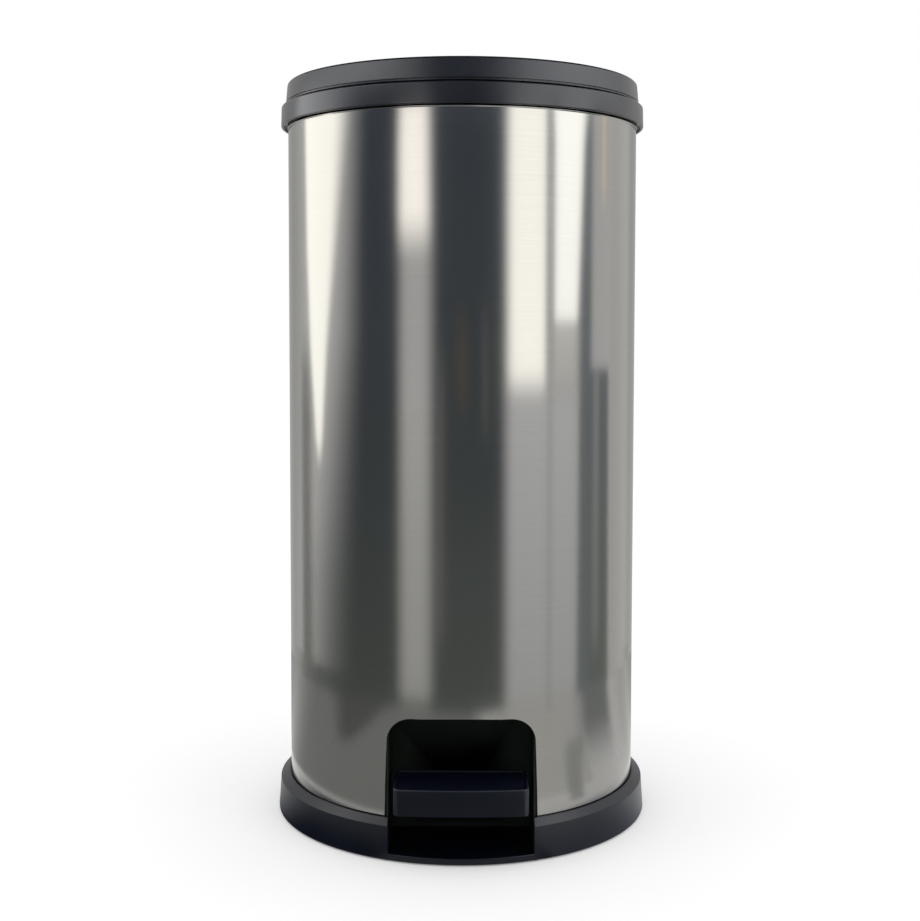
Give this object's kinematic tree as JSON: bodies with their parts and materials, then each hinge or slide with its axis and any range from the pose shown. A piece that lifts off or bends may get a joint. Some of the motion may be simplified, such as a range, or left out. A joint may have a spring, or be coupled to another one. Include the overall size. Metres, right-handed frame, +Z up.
{
  "type": "pedal trash can",
  "caption": "Tall round step-on trash can with a brushed steel body, dark plastic lid, collar and base, a front pedal in a recess, and a lift-out bucket.",
  "frame": {"origin": "on the floor, at the body's axis", "axes": "+Z up, the pedal faces -Y, the lid's hinge is at +Y, +X to the right seen from the front"},
  "size_m": [0.3114, 0.327, 0.607],
  "materials": {
    "steel_body": "horizontally brushed stainless steel sheet",
    "base_plastic": "near-black moulded plastic, satin",
    "recess_plastic": "black moulded plastic, matt",
    "pedal_plastic": "dark navy-black plastic, fine texture",
    "collar_plastic": "dark charcoal plastic, fine matt texture",
    "lid_plastic": "dark charcoal plastic, fine matt texture",
    "liner_plastic": "dark plastic, plain",
    "bucket_plastic": "dark grey plastic, satin",
    "rubber": "black rubber",
    "pressed_steel": "zinc-plated pressed steel",
    "wire_steel": "bright plated wire and pins",
    "screw_steel": "plated screws, rivets and clips",
    "guide_plastic": "dark nylon"
  },
  "bodies": {
    "can": {"outer_shell": "steel_body", "base_moulding": "base_plastic", "rubber_feet": "rubber", "pedal_housing": "recess_plastic", "housing_screws": "screw_steel", "pivot_axle": "wire_steel", "axle_clips": "screw_steel", "rod_guides": "guide_plastic", "top_collar": "collar_plastic", "hinge_cover": "collar_plastic", "hinge_cover_screws": "screw_steel", "hinge_pin": "wire_steel", "inner_bucket": "bucket_plastic", "bucket_handle": "wire_steel", "handle_grip": "guide_plastic"},
    "lid": {"lid_cover": "lid_plastic", "lid_liner": "liner_plastic", "lid_hinge_arm": "liner_plastic", "lid_arm_screws": "screw_steel", "crank_pin": "wire_steel", "lid_bumpers": "rubber"},
    "pedal": {"pedal_tread": "pedal_plastic", "pedal_lever": "pressed_steel", "pedal_rivets": "screw_steel"},
    "rod": {"push_rod": "wire_steel", "rod_head": "guide_plastic", "rod_foot": "guide_plastic"}
  },
  "joints": [
    {"name": "lid_hinge", "type": "hinge", "parent": "can", "child": "lid", "pos_m": [0, 0.1524, 0.5886], "axis": [-1, 0, 0], "range_deg": [0, 78]},
    {"name": "pedal_hinge", "type": "hinge", "parent": "can", "child": "pedal", "pos_m": [0, -0.00392, 0.03], "axis": [1, 0, 0], "range_deg": [0, 11]},
    {"name": "rod_slide", "type": "slide", "parent": "can", "child": "rod", "axis": [0, 0, 1], "range_m": [0, 0.0265]}
  ],
  "couplings": [
    {"joint": "pedal_hinge", "follows": "lid_hinge", "ratio": 0.14103},
    {"joint": "rod_slide", "follows": "lid_hinge", "m_per_rad": 0.019466}
  ]
}
